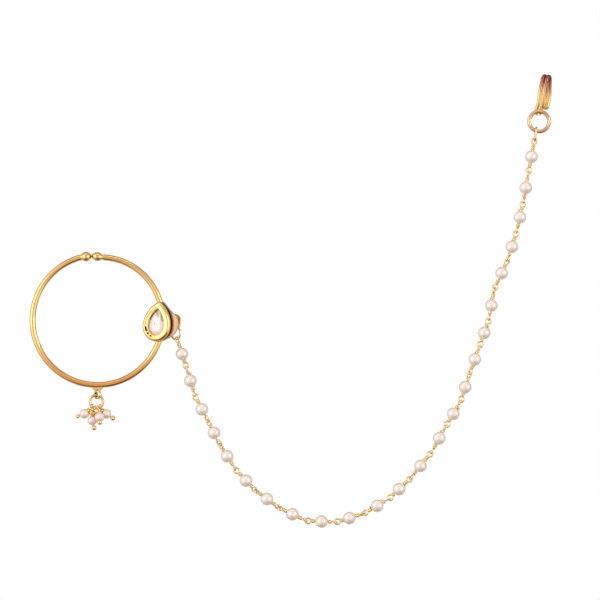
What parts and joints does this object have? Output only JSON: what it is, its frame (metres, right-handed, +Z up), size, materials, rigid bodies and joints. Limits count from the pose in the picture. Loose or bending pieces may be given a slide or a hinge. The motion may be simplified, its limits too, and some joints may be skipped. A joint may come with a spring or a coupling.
{
  "type": "nath nose ring",
  "caption": "Large gold hoop nose ring with a teardrop stone setting, a small pearl cluster charm and a hanging pearl chain that ends in a ring and a hair hook.",
  "frame": {"origin": "the gap between the hoop's two ball ends, at the middle of the hoop's wire", "axes": "+X from the hoop along the chain to the hair hook, +Y away from the viewer to the back, +Z up as it hangs"},
  "size_m": [0.1618, 0.0084, 0.1405],
  "materials": {
    "gold": "polished yellow gold plating",
    "pearl": "cream pearl lustre",
    "stone": "clear cut stone over foil"
  },
  "bodies": {
    "root": {"chain_pearl_01": "pearl", "chain_pearl_02": "pearl", "chain_pearl_03": "pearl", "chain_pearl_04": "pearl", "chain_pearl_05": "pearl", "chain_pearl_06": "pearl", "chain_pearl_07": "pearl", "chain_pearl_08": "pearl", "chain_pearl_09": "pearl", "chain_pearl_10": "pearl", "chain_pearl_11": "pearl", "chain_pearl_12": "pearl", "chain_pearl_13": "pearl", "chain_pearl_14": "pearl", "chain_pearl_15": "pearl", "chain_pearl_16": "pearl", "chain_pearl_17": "pearl", "chain_pearl_18": "pearl", "chain_pearl_19": "pearl", "chain_pearl_20": "pearl", "chain_pearl_21": "pearl", "chain_pearl_22": "pearl", "chain_pearl_23": "pearl", "chain_pearl_24": "pearl", "chain_wires_1": "gold", "chain_wires_2": "gold", "chain_wires_3": "gold", "chain_wires_4": "gold", "chain_wires_5": "gold", "chain_wires_6": "gold", "charm_jump_ring": "gold", "charm_pearl_1": "pearl", "charm_pearl_2": "pearl", "charm_pearl_3": "pearl", "charm_pearl_4": "pearl", "charm_pin_1": "gold", "charm_pin_2": "gold", "charm_pin_3": "gold", "charm_pin_4": "gold", "end_link": "gold", "end_ring": "gold", "hair_hook": "gold", "hoop": "gold", "side_jump_ring": "gold", "stone": "stone"}
  },
  "joints": []
}
